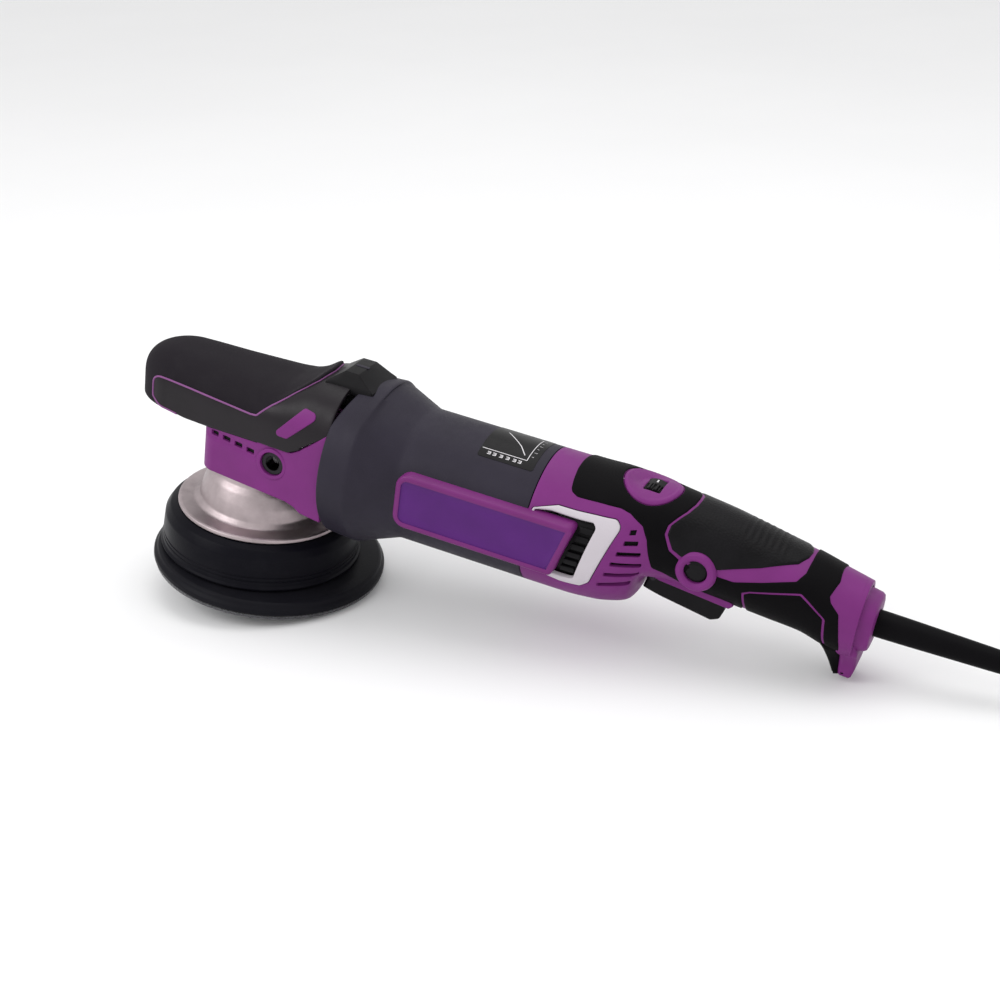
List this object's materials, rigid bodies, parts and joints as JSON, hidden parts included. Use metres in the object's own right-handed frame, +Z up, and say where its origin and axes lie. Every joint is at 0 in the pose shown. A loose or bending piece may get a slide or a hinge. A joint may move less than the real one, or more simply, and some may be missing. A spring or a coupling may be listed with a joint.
{
  "type": "dual action polisher",
  "caption": "Corded dual action polisher with an orbiting backing plate, bevel gear head, rubber palm grip, barrel motor, rear handle with trigger and speed dial, and a coiled mains cord.",
  "frame": {"origin": "on the surface the tool lies on, under the middle of its box (cord left out)", "axes": "+X from the head back to the cord, +Y to the tool's right side, +Z up from the surface; the spindle leans back by 9.9 degrees because the tool rests on the rear edge of its plate and on the stop under the handle"},
  "size_m": [0.6813, 0.136, 0.1278],
  "materials": {
    "purple": "satin",
    "panel": "satin",
    "housing_grey": "satin",
    "black_plastic": "satin",
    "soft_black": "matt",
    "white_plastic": "satin",
    "cast": "as cast",
    "steel": "ground",
    "zinc": "plated",
    "copper": "enamelled",
    "core_steel": "laminated",
    "board": "satin",
    "carbon": "matt",
    "pad_foam": "satin",
    "hook": "woven",
    "fibre": "matt",
    "cord": "satin"
  },
  "bodies": {
    "housing": {"gear_case": "cast", "gear_case_screws": "zinc", "side_handle_inserts": "steel", "head_cover": "purple", "head_band": "black_plastic", "head_grip": "soft_black", "head_badges": "purple", "bridge_block": "black_plastic", "rubber_shroud": "soft_black", "spindle_bearing_lower": "steel", "spindle_bearing_upper": "steel", "bearing_retainer": "zinc", "motor_housing": "housing_grey", "side_panel_left": "panel", "side_panel_right": "panel", "vent_frames": "white_plastic", "vent_grilles": "black_plastic", "stator_core": "core_steel", "field_coils": "copper", "fan_baffle": "black_plastic", "motor_bearing_front": "steel", "motor_bearing_rear": "steel", "brush_holders": "copper", "carbon_brushes": "carbon", "brush_springs": "steel", "handle_shell_left": "purple", "handle_shell_right": "purple", "handle_overmould": "soft_black", "main_grip": "soft_black", "lower_grip": "soft_black", "dial_bezel": "purple", "control_board": "board", "trigger_pin": "steel", "switch_body": "black_plastic", "handle_screws": "zinc", "cord_clamp": "black_plastic", "cord_guard": "cord", "cord_lead": "cord", "cord_coil": "cord", "coil_tie": "hook", "mains_plug": "cord"},
    "armature": {"armature_shaft": "steel", "armature_core": "core_steel", "armature_windings": "copper", "commutator": "copper", "fan": "black_plastic", "bevel_pinion": "steel"},
    "orbit": {"spindle": "steel", "bevel_gear": "steel", "counterweight": "steel", "eccentric_bearing": "steel"},
    "plate": {"plate_arbor": "steel", "plate_bolt": "zinc", "plate_core": "fibre", "backing_pad": "pad_foam", "hook_face": "hook"},
    "trigger": {"trigger": "black_plastic"},
    "lock_button": {"lock_button": "black_plastic"},
    "speed_dial": {"speed_dial": "black_plastic"}
  },
  "joints": [
    {"name": "armature_spin", "type": "hinge", "parent": "housing", "child": "armature", "pos_m": [-0.03103, 0, 0.07321], "axis": [0.9851, 0, -0.1721], "continuous": true},
    {"name": "spindle_spin", "type": "hinge", "parent": "housing", "child": "orbit", "pos_m": [-0.1347, 0, 0.06087], "axis": [0.1721, 0, 0.9851], "continuous": true},
    {"name": "plate_spin", "type": "hinge", "parent": "orbit", "child": "plate", "pos_m": [-0.13568, 0, 0.02044], "axis": [0.1721, 0, 0.9851], "continuous": true},
    {"name": "trigger_pull", "type": "hinge", "parent": "housing", "child": "trigger", "pos_m": [0.0876, 0, 0.04334], "axis": [0, -1, 0], "range_deg": [0, 4], "stiffness_Nm_per_rad": 0.8, "springref_deg": -8.59},
    {"name": "lock_press", "type": "slide", "parent": "housing", "child": "lock_button", "axis": [0, 1, 0], "range_m": [0, 0.0025], "stiffness_N_per_m": 600, "springref_m": -0.002},
    {"name": "speed_dial_turn", "type": "hinge", "parent": "housing", "child": "speed_dial", "pos_m": [0.08311, 0, 0.07864], "axis": [0, 1, 0], "range_deg": [-135, 135]}
  ],
  "couplings": [
    {"joint": "spindle_spin", "follows": "armature_spin", "ratio": 0.24324}
  ]
}
